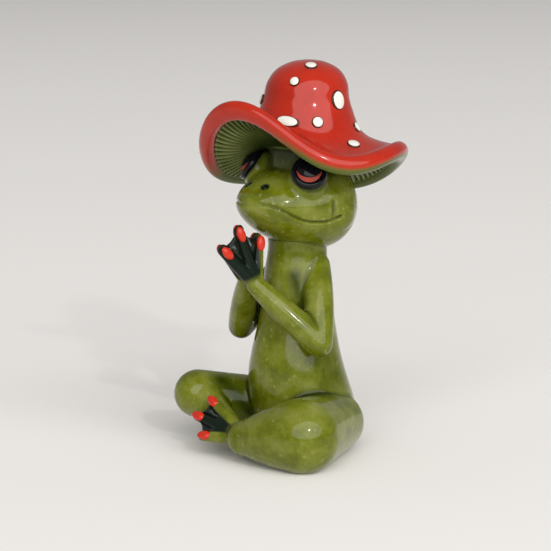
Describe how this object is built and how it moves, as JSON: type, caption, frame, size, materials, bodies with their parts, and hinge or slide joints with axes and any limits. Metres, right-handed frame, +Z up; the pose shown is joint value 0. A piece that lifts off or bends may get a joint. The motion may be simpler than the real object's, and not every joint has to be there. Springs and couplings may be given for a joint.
{
  "type": "frog figurine",
  "caption": "Glazed frog figurine sitting cross-legged with palms together under a floppy spotted mushroom hat.",
  "frame": {"origin": "on the surface it stands on, in the middle of the torso's flat foot", "axes": "+Z up; the frog faces -Y, so +X is its left side"},
  "size_m": [0.0661, 0.0682, 0.1218],
  "materials": {
    "green_glaze": "mottled olive-green gloss",
    "red_glaze": "vermilion gloss",
    "white_spot": "white gloss",
    "dark_web": "near-black green gloss",
    "red_pad": "red-orange gloss",
    "red_iris": "red-brown gloss",
    "black_glaze": "black gloss"
  },
  "bodies": {
    "root": {"torso": "green_glaze", "head": "green_glaze", "left_arm": "green_glaze", "right_arm": "green_glaze", "left_leg": "green_glaze", "right_leg": "green_glaze", "left_hand": "green_glaze", "right_hand": "green_glaze", "left_foot": "green_glaze", "left_hand_web": "dark_web", "right_hand_web": "dark_web", "left_foot_web": "dark_web", "left_finger_pads": "red_pad", "right_finger_pads": "red_pad", "left_toe_pads": "red_pad", "left_eyeball": "red_iris", "right_eyeball": "red_iris", "left_pupil": "black_glaze", "right_pupil": "black_glaze", "left_eye_rim": "black_glaze", "right_eye_rim": "black_glaze", "hat_shell": "red_glaze", "hat_spots": "white_spot"}
  },
  "joints": []
}
